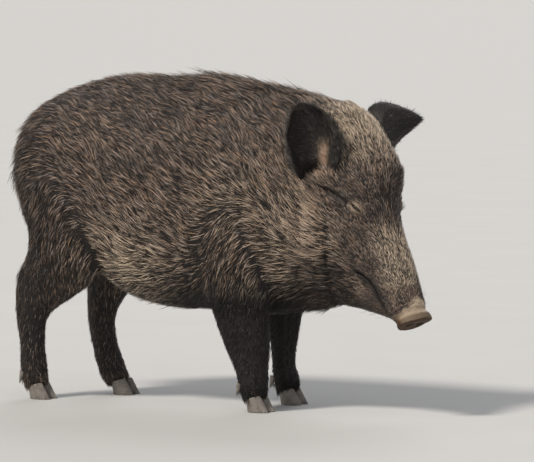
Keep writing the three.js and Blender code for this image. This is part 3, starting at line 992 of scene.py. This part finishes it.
part_names = np.array(flesh)[source_node]
grain_way = np.tile(unit(np.array([-0.79, 0, 0.61])), (len(points), 1))
grain_way[points[:, 2] < 0.33] = unit(np.array([-0.85, 0, -0.52]))
grain_way[np.char.startswith(part_names, "leg") | np.char.startswith(part_names, "foot")] = (0, 0, -1)
grain_way[on_head > 0.5] = -FACE_AXIS
grain = skin.data.attributes.new("grain_way", "FLOAT_VECTOR", "POINT")
grain.data.foreach_set("vector", grain_way.ravel())
skin_finish = coat_material("boar skin", True)
hair_finish = coat_material("boar bristle", False)
skin.data.materials.append(skin_finish)
skin.data.shade_smooth()
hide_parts(*flesh)
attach(skin, "root")
print("finishes:", skin_finish.name, "and", hair_finish.name)

# %% [markdown]
# ## The lie of the coat
# Hair grows backwards from the snout. On the flank of this raised winter coat it sweeps back and up, it turns
# level low on the ribs, and falls down and back over belly, rump and legs. Each point of the skin gets its
# direction, and the directions are then smoothed along the skin so that they flow into each other.

# %% Directions
LIMB_LIES = {
    "leg_upper": (-0.35, 0, -1),
    "leg_lower": (-0.18, 0, -1),
    "foot": (0.15, 0, -1),
    "tail": (-0.1, 0, -1),
}


def trunk_way(p):
    x, z = p[:, 0], p[:, 2]
    angle = 38 * step(z, 0.30, 0.40) - 38 * (1 - step(z, 0.24, 0.32))
    angle = angle - 20 * step(z, 0.64, 0.74)
    angle = angle + 14 * step(x, 0.08, 0.22) * step(z, 0.40, 0.55)
    rump = 1 - step(x, -0.46, -0.36)
    angle = angle * (1 - rump) - 48 * rump
    angle = np.radians(angle)
    return np.stack([-np.cos(angle), np.zeros(len(p)), np.sin(angle)], 1)


def head_lie(p):
    a, r, u = in_head(p)
    sideways = np.sign(r) * step(np.abs(r), 0.01, 0.05)
    low = step(-u, 0.04, 0.14)
    return unit(-FACE_AXIS + FACE_RIGHT * (0.35 * sideways)[:, None] - FACE_UP * (0.9 * low)[:, None])


way = trunk_way(points)
is_head = made_of(*HEAD_PARTS) > 0
way[is_head] = head_lie(points[is_head])
for name, lie in LIMB_LIES.items():
    way[part == PARTS.index(name)] = unit(np.array(lie, float))
way = unit(spread(way, 25))
for side, (*_, length, out, front_side) in ear_frames.items():
    own = source_node == flesh.index("ear_" + side)
    across = np.clip(ear_front[own], -1, 1)[:, None]
    combed = (side == "right") * (1 - step(across, -0.10, 0.35))
    fan = 0.55 * across * (0.4 + ear_reach[own, None]) * (1 - combed) - combed
    way[own] = unit(length * (1 - 0.70 * combed) + fan * front_side)
way = unit(spread(way, 4))
print("mean lie of the coat:", way.mean(0).round(2))

# %% [markdown]
# ## An unwrap of the body for the coat's colours
# When the model is exported, each tuft's colour is baked into a small patch of a map. The patch sits where
# the tuft's root lies on an unwrap of the body: barrel, head, legs, ears and tail are each rolled out from
# a tube into a rectangle of their own.

# %% Roll the body out flat
LEG_PLACES = {
    "fore_right": (0.12, -0.09),
    "fore_left": (0.11, 0.09),
    "hind_right": (-0.40, -0.09),
    "hind_left": (-0.34, 0.09),
}


def part_of_turn(y, x):
    return np.arctan2(y, x) / (2 * math.pi) + 0.5


def part_of_way(value, length):
    return np.clip(value / length, 0, 1)


def rolled_out(p, node_index):
    names = np.array(flesh)[node_index]
    x, y, z = p.T
    barrel = (0.01 + 0.98 * part_of_way(x + 0.58, 0.92), 0.50 + 0.49 * part_of_turn(y, z - 0.48))
    uv = np.stack(barrel, 1)

    def lay(chosen, across, upward):
        uv[chosen] = np.stack([across, upward], 1)[chosen]

    a, r, u = in_head(p)
    of_head = np.isin(names, HEAD_PARTS)
    lay(of_head, 0.01 + 0.44 * part_of_way(a + 0.06, 0.57), 0.22 + 0.26 * part_of_turn(r, u + 0.10))
    for k, (leg, (leg_x, leg_y)) in enumerate(LEG_PLACES.items()):
        round_leg = part_of_turn(y - leg_y, x - leg_x)
        of_leg = np.char.find(names, leg) >= 0
        lay(of_leg, 0.47 + 0.13 * k + 0.11 * round_leg, 0.02 + 0.45 * part_of_way(z, 0.62))
    for k, side in enumerate(("right", "left")):
        base, size, length, out, front_side = ear_frames[side]
        rel = p - base
        round_ear = part_of_turn(rel @ front_side, rel @ out - 0.02)
        up_ear = 0.02 + 0.17 * part_of_way(rel @ length, size)
        lay(names == "ear_" + side, 0.01 + 0.18 * k + 0.16 * round_ear, up_ear)
    round_tail = part_of_turn(y - 0.02, x + 0.55)
    lay(names == "tail", 0.38 + 0.07 * round_tail, 0.02 + 0.17 * part_of_way(z - 0.37, 0.28))
    return uv


snout_tip = head_point(0.5, 0, -0.04)[None]
print("snout tip on the map:", rolled_out(snout_tip, [flesh.index("snout_disc")]).round(3))

# %% [markdown]
# ## Tufts
# A tuft is a slim wedge of hair: three sides, a closed base sunk in the skin, and one fine tip. All tufts of
# a piece are written into one mesh at once with arrays, because adding them one by one would be slow. Each
# keeps its place along the hair, its own shade and the marks of its root.

# %% The tuft builder
ROOT_DEPTH = 0.0015
MAP_PATCH = 0.003


def write_mesh(name, verts, tris):
    mesh = bpy.data.meshes.new(name)
    mesh.vertices.add(len(verts))
    mesh.vertices.foreach_set("co", verts.astype(np.float32).ravel())
    mesh.loops.add(len(tris) * 3)
    mesh.loops.foreach_set("vertex_index", tris.astype(np.int32).ravel())
    mesh.polygons.add(len(tris))
    mesh.polygons.foreach_set("loop_start", np.arange(0, len(tris) * 3, 3, dtype=np.int32))
    mesh.update(calc_edges=True)
    return mesh


def tuft_piece(name, tufts, levels=(0.0, 0.5)):
    n = len(tufts["root"])
    rings = len(levels)
    per_tuft = rings * 3 + 1
    root, normal, way = tufts["root"], tufts["normal"], tufts["way"]
    side = unit(np.cross(normal, way))
    verts = np.empty((n, per_tuft, 3))
    place_along = np.empty((n, per_tuft))
    for k, level in enumerate((*levels, 1.0)):
        reach = tufts["length"] * level
        rise = np.sin(tufts["lift"]) * reach * (1 - 0.45 * level)
        run = np.cos(tufts["lift"]) * reach
        curl = tufts["curl"] * reach * level
        centre = root + way * run[:, None] + normal * (rise - ROOT_DEPTH * (k == 0))[:, None]
        centre += side * curl[:, None] + tufts["pull"] * level
        if k == rings:
            verts[:, -1] = centre
            place_along[:, -1] = 1
            break
        half = tufts["width"] / 2 * (1.0 - 0.35 * level)
        verts[:, 3 * k] = centre - side * half[:, None]
        verts[:, 3 * k + 1] = centre + side * half[:, None]
        verts[:, 3 * k + 2] = centre + normal * (0.7 * half)[:, None]
        place_along[:, 3 * k : 3 * k + 3] = level
    tris = [(0, 1, 2)]
    for k in range(rings - 1):
        for i in range(3):
            a, b = 3 * k + i, 3 * k + (i + 1) % 3
            tris += [(a, b + 3, b), (a, a + 3, b + 3)]
    last = 3 * (rings - 1)
    tris += [(last + i, last + 3, last + (i + 1) % 3) for i in range(3)]
    faces = (np.array(tris) + np.arange(n)[:, None, None] * per_tuft).reshape(-1, 3)
    mesh = write_mesh(name, verts.reshape(-1, 3), faces)
    set_numbers(mesh, along=place_along.ravel())
    for key in ("shade", "buff", "dusk", "warmth"):
        set_numbers(mesh, **{key: np.repeat(tufts[key], per_tuft)})
    local = np.empty((per_tuft, 2))
    local[:, 0] = [0.0, 1.0, 0.5] * rings + [0.5]
    local[:, 1] = np.repeat([*levels, 1.0], [3] * rings + [1])
    uv = tufts["uv"][:, None, :] + MAP_PATCH * (local - 0.5)[None]
    layer = mesh.uv_layers.new(name="OFBake")
    layer.data.foreach_set("uv", uv.reshape(-1, 2)[faces.ravel()].astype(np.float32).ravel())
    mesh.shade_smooth()
    mesh.materials.append(hair_finish)
    piece = new_object(name, mesh)
    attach(piece, "root")
    return len(faces)


print("a coat tuft has 10 triangles, a straight hair 4")


# %% [markdown]
# Roots are spread over the skin's triangles in proportion to their area and to the card's tufts per square
# centimetre. The draw walks along the triangles in even steps with a little jitter, which leaves fewer bald
# spots than throwing darts would.

# %% Spread the roots
skin_tris = read(skin.data.polygons, "vertices", 3, np.int32)
normals = spread(skin_normals(points), 2)
corner = points[skin_tris]
area = np.linalg.norm(np.cross(corner[:, 1] - corner[:, 0], corner[:, 2] - corner[:, 0]), axis=1) / 2
PER_SQUARE_METRE = 1e4
AMOUNT = 1.0
LOCK_PULL = 0.16
WIDEST = 0.185  # metres to either side; tufts that would reach further are shortened
SHADE_LIMIT = 2.4


def pick_roots(density, seed):
    source = np.random.default_rng(seed)
    weight = area * density[skin_tris].mean(1)
    total = np.cumsum(weight)
    count = int(total[-1])
    at = (np.arange(count) + source.uniform(0, 1, count)) / count * total[-1]
    face = np.minimum(np.searchsorted(total, at), len(weight) - 1)
    b = source.dirichlet((1, 1, 1), count)
    return face, b, source


def locks(root, seed, per_lock=9):
    chosen = np.random.default_rng(seed).choice(len(root), max(1, len(root) // per_lock), replace=False)
    tree = KDTree(len(chosen))
    for k, i in enumerate(chosen):
        tree.insert(root[i], k)
    tree.balance()
    return chosen, np.array([tree.find(spot)[1] for spot in root])


def grow(face, b, source, per_lock=9):
    ids = skin_tris[face]

    def at(values):
        return (values[ids] * (b if values.ndim == 1 else b[:, :, None])).sum(1)

    root = at(points)
    normal = unit(at(normals))
    lie = at(way)
    here = at(card)
    lie = lie - (lie * normal).sum(1)[:, None] * normal
    lie = unit(lie + 1e-6)
    side = np.cross(normal, lie)
    n = len(root)
    sway = 0.15 * waves(root, 0.055, 3) + 0.08 * waves(root, 0.022, 4) + 0.13 * source.normal(size=n)
    lie = unit(lie * np.cos(sway)[:, None] + side * np.sin(sway)[:, None])
    first = ids[:, 0]
    buff_here = at(buff)
    centres, mine = locks(root, 8, per_lock)
    lock_shade = source.normal(0, 1, len(centres))[mine]
    lock_warmth = source.normal(0, 1, len(centres))[mine]
    pull = root[centres][mine] - root
    pull -= (pull * normal).sum(1)[:, None] * normal
    reach = np.linalg.norm(pull, axis=1)
    furred = 1 - 0.6 * at(on_head)
    pull *= (LOCK_PULL * furred * np.minimum(1, 0.35 * here[:, LENGTH] / np.maximum(reach, 1e-5)))[:, None]
    clump = waves(root, 0.030, 5)
    tufts = {
        "root": root,
        "normal": normal,
        "way": lie,
        "length": here[:, LENGTH] * source.uniform(0.72, 1.18, n) * (1 + 0.10 * clump),
        "width": here[:, WIDTH] * source.uniform(0.7, 1.25, n),
        "lift": np.radians(here[:, LIFT] * (1 + 0.22 * waves(root, 0.04, 6)) + source.normal(0, 5, n)),
        "curl": source.normal(0, 0.07, n),
        "pull": pull,
        "shade": source.normal(0, 0.98, n) + 0.10 * furred * lock_shade + 0.12 * clump,
        "warmth": np.clip(0.40 + 0.10 * lock_warmth + source.normal(0, 0.32, n) + 0.9 * at(rust), 0, 1),
        "buff": np.clip(buff_here + source.normal(0, 0.12, n), 0, 1),
        "dusk": np.clip(at(dusk) + source.normal(0, 0.10, n), 0, 1),
        "uv": rolled_out(root, source_node[first]),
        "part": part[first],
        "node": source_node[first],
    }
    tufts["shade"] += (0.42 + 0.28 * at(on_head)) * buff_here
    # Hair over the fold behind the cheeks is made paler: painted light that offsets the shade in the fold.
    tufts["shade"] = np.clip(tufts["shade"] + 0.20 * at(cheek_fold), -SHADE_LIMIT, SHADE_LIMIT)
    tufts["lift"] = np.clip(tufts["lift"], 0.05, 1.2)
    outward = lie[:, 1] * np.cos(tufts["lift"]) + 0.55 * normal[:, 1] * np.sin(tufts["lift"])
    outward *= np.sign(root[:, 1]) * tufts["length"]
    room = np.maximum(WIDEST - np.abs(root[:, 1]), 0.003)
    tufts["length"] *= np.minimum(1, room / np.maximum(outward, 1e-6))
    return tufts


def some(tufts, chosen):
    return {key: value[chosen] for key, value in tufts.items()}


hair = grow(*pick_roots(card[:, COAT] * PER_SQUARE_METRE * AMOUNT, 21), 5)
print("tufts:", len(hair["root"]), "per part:", per_part(hair["part"]))
under = grow(*pick_roots(card[:, UNDERCOAT] * PER_SQUARE_METRE * AMOUNT, 22), 8)
under["length"] *= 0.82
under["width"] *= 0.66
under["lift"] *= 0.62
print("straight hair under it:", len(under["root"]))

# %% [markdown]
# The coat is cut into pieces the way a furrier would lay out a hide, so that no piece grows too heavy: bands
# from rump to neck on each side, the two sides of the face, the muzzle, the ears, the legs and the tail.

# %% Cut the coat into pieces
BANDS = (("rump", -9, -0.30), ("flank", -0.30, -0.08), ("shoulder", -0.08, 0.12), ("neck", 0.12, 9))


def piece_names(tufts):
    part_names = np.array(PARTS)[tufts["part"]]
    on_right = tufts["root"][:, 1] < 0
    x_root = tufts["root"][:, 0]
    names = np.empty(len(x_root), dtype="U40")
    for band, low, high in BANDS:
        in_band = (x_root >= low) & (x_root < high)
        names[in_band & on_right] = band + "_right"
        names[in_band & ~on_right] = band + "_left"
    a, r, u = in_head(tufts["root"])
    of_face = np.isin(part_names, HEAD_PARTS)
    names[of_face & (r >= 0)] = "face_right"
    names[of_face & (r < 0)] = "face_left"
    names[of_face & (a > 0.30)] = "muzzle"
    names[part_names == "ear"] = "ears"
    names[part_names == "tail"] = "tail"
    for legs in ("fore", "hind"):
        of_legs = np.char.find(np.array(flesh)[tufts["node"]], legs) >= 0
        names[of_legs & (part_names == "leg_upper")] = f"{legs}_legs_upper"
        names[of_legs & np.isin(part_names, ["leg_lower", "foot"])] = f"{legs}_legs_lower"
    return names


triangles = 0
for layer, bunch, levels in (("coat", hair, (0.0, 0.5)), ("undercoat", under, (0.0,))):
    names = piece_names(bunch)
    for name in sorted(set(names)):
        count = tuft_piece(f"{layer}_{name}", some(bunch, names == name), levels)
        triangles += count
        print(f"  {layer}_{name}: {count} triangles")
print("coat so far:", triangles, "triangles")

# %% [markdown]
# The lids carry only the shortest hair, which points away from the eye, and the upper lid has a row of dark
# lashes that droop over the slit.

# %% Lid hair and lashes


def plain_tufts(roots, normals, lies, length, width, lift, shade, dusk):
    n = len(roots)
    return {
        "root": np.array(roots),
        "normal": np.array(normals),
        "way": np.array(lies),
        "length": length * source.uniform(0.75, 1.2, n),
        "width": width * source.uniform(0.8, 1.2, n),
        "lift": np.radians(lift + source.normal(0, 5, n)),
        "curl": source.normal(0, 0.15, n),
        "pull": np.zeros((n, 3)),
        "shade": shade + source.normal(0, 0.6, n),
        "warmth": np.full(n, 0.4),
        "buff": np.full(n, 0.15),
        "dusk": np.full(n, dusk),
        "uv": rolled_out(np.array(roots), np.full(n, flesh.index("head"))),
    }


HAIRS_PER_EYE = 1500
source = np.random.default_rng(71)
roots, outward, lies, lash_roots, lash_out, lash_lies = [], [], [], [], [], []
for centre, sight, slit_way, brow_way, start in lid_spots:
    rings = lid_points[start : start + len(LID_RINGS) * LID_STEPS].reshape(len(LID_RINGS), LID_STEPS, 3)
    across = np.roll(rings, -1, 1) - np.roll(rings, 1, 1)
    facing_out = unit(np.cross(across[:-1], np.diff(rings, axis=0)))
    facing_out *= np.sign(facing_out @ sight)[..., None]
    for _ in range(HAIRS_PER_EYE):
        ring = source.uniform(2.2, len(LID_RINGS) - 1.05)
        k = source.integers(LID_STEPS)
        low = int(ring)
        spot = rings[low, k] * (1 - ring + low) + rings[low + 1, k] * (ring - low)
        away = spot - centre
        lie = unit(away - (away @ sight) * sight) * max(0.15, 1.3 - 0.25 * ring) + head_lie(spot[None])[0]
        normal = facing_out[low, k]
        roots.append(spot)
        lies.append(unit(lie - (lie @ normal) * normal))
        outward.append(normal)
    for k in range(3, LID_STEPS // 2 - 2):
        for _ in range(2):
            spot = rings[1, k] * 0.4 + rings[2, k] * 0.6 + source.normal(0, 0.0004, 3)
            lash_roots.append(spot)
            lash_out.append(brow_way)
            sideways = 0.5 * math.cos(2 * math.pi * k / LID_STEPS)
            lash_lies.append(unit(sight * 0.9 - brow_way * 0.25 + slit_way * sideways))
lid_hair = plain_tufts(roots, outward, lies, 0.0062, 0.0007, lift=12, shade=0.15, dusk=0.05)
lashes = plain_tufts(lash_roots, lash_out, lash_lies, 0.0090, 0.0006, lift=4, shade=-1.0, dusk=0.9)
triangles += tuft_piece("lid_hair", lid_hair, levels=(0.0,))
triangles += tuft_piece("lashes", lashes)
print("lid hairs:", len(roots), "lashes:", len(lash_roots))

# %% [markdown]
# Two more layers stand out of the coat: the long bristles, thick on the crest and sparse over the rest of the
# body, and the stiff feelers on muzzle and chin.

# %% Long bristles and feelers
LONG_LEVELS = (0.0, 0.35, 0.7)
bristle_field = step(on_body, 0.4, 0.9) * (0.10 + 0.55 * crest) * PER_SQUARE_METRE * AMOUNT
face, b, source = pick_roots(bristle_field, 33)
bristles = grow(face, b, source)
n = len(bristles["root"])
bristles["length"] *= 1.2
bristles["width"] = 0.0017 * source.uniform(0.8, 1.2, n)
bristles["lift"] *= 0.9
bristles["shade"] -= 0.7
triangles += tuft_piece("bristles", bristles, LONG_LEVELS)
chin = blob(points, head_point(0.44, 0, -0.10), (0.03, 0.03, 0.03))
feelers_per_cm2 = 0.10 * step(along, 0.36, 0.44) * (1 - bare_snout) + 0.30 * chin
face, b, source = pick_roots(on_head * PER_SQUARE_METRE * feelers_per_cm2, 34)
feelers = grow(face, b, source)
n = len(feelers["root"])
feelers["length"] = source.uniform(0.018, 0.038, n)
feelers["width"] = np.full(n, 0.0007)
feelers["lift"] = np.radians(source.uniform(28, 50, n))
feelers["shade"] = np.full(n, -1.2)
triangles += tuft_piece("feelers", feelers, LONG_LEVELS)
print("bristles", len(bristles["root"]), "feelers", n, "all coat:", triangles, "triangles")

# %% [markdown]
# The lid sleeves now join the skin, so that hide and lids are one piece with one finish.

# %% Join the lids to the skin
lid_mesh = write_mesh("lids", lid_points, np.array(lid_tris))
ring_number = np.tile(np.repeat(np.arange(len(LID_RINGS)), LID_STEPS), len(EYES))
none = np.zeros(len(lid_points))
set_numbers(
    lid_mesh,
    buff=none,
    dusk=none + 0.2,
    bare=0.62 * step(ring_number, 0.5, 2.0) * (1 - step(ring_number, 3.5, 5.5)),
    along=none + 0.42,
    shade=none,
    warmth=none + 0.4,
    pad=none,
    # The two inner rings, where lid meets eye, are darkened as painted shade.
    dark_wet=ring_number < 2,
)
lid_mesh.materials.append(skin_finish)
lid_mesh.shade_smooth()
skin = join(skin, new_object("lids", lid_mesh))
print("skin with lids:", len(skin.data.polygons), "triangles")

# %% [markdown]
# ## Horn
# A claw is a box of horn round the last toe bone. Its wall grows down from the hairline in fine rings and is
# chipped where it meets the ground. Each claw is melted from its plain solid, softened, and its rings are
# pushed in and out along the surface by a wave that follows the slope of the hairline.

# %% Claws and dewclaws
HORN_VOXEL = {"hoof": 0.0018, "dewclaw": 0.0013}
RING_PITCH = 0.0072
claws = []
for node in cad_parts:
    if not node.startswith(("hoof", "dewclaw")):
        continue
    claw = loose_copy(node)
    claw.name = "horn_" + node
    melt(claw, HORN_VOXEL[node.split("_")[0]])
    apply_modifier(claw, "SMOOTH", factor=0.5, iterations=7)
    p = coordinates(claw.data)
    out = normals_of(claw.data)
    wall = 1 - step(np.abs(out[:, 2]), 0.55, 0.85)
    level = p[:, 2] + 0.30 * (p[:, 0] - p[:, 0].mean())
    rings = np.sin(2 * math.pi * (level / RING_PITCH + 0.45 * waves(p, 0.02, 51)))
    worn = (1 - step(p[:, 2], 0.002, 0.009)) * waves(p, 0.007, 52)
    p = p + out * (wall * (0.00014 * rings + 0.00045 * worn))[:, None]
    p[:, 2] = np.maximum(p[:, 2], 0.0)
    put_coordinates(claw.data, p)
    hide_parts(node)
    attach(claw, "root")
    claws.append(claw)
print("claws:", len(claws), "triangles:", sum(2 * len(c.data.polygons) for c in claws))

# %% Horn finish
horn = Finish("hoof horn")
RING_WAVE = {"Vector": horn.place(), "Scale": 66, "Distortion": 5.0, "Detail": 2}
rings = horn.add("TexWave", RING_WAVE, bands_direction="Z").outputs["Fac"]
horn_tone = horn.tones(rings, (0, (0.172, 0.150, 0.130)), (1, (0.208, 0.184, 0.160)))
soiled = horn.remap(horn.noise(85, 4), 0.42, 0.72, 0.75)
horn.bump(rings, 0.10, 0.0006)
horn.finish(Base_Color=horn.mix(soiled, horn_tone, (0.075, 0.056, 0.042)), Roughness=0.5)
for claw in claws:
    claw.data.materials.append(horn.paint)
print("horn finish on", len(claws), "claws")
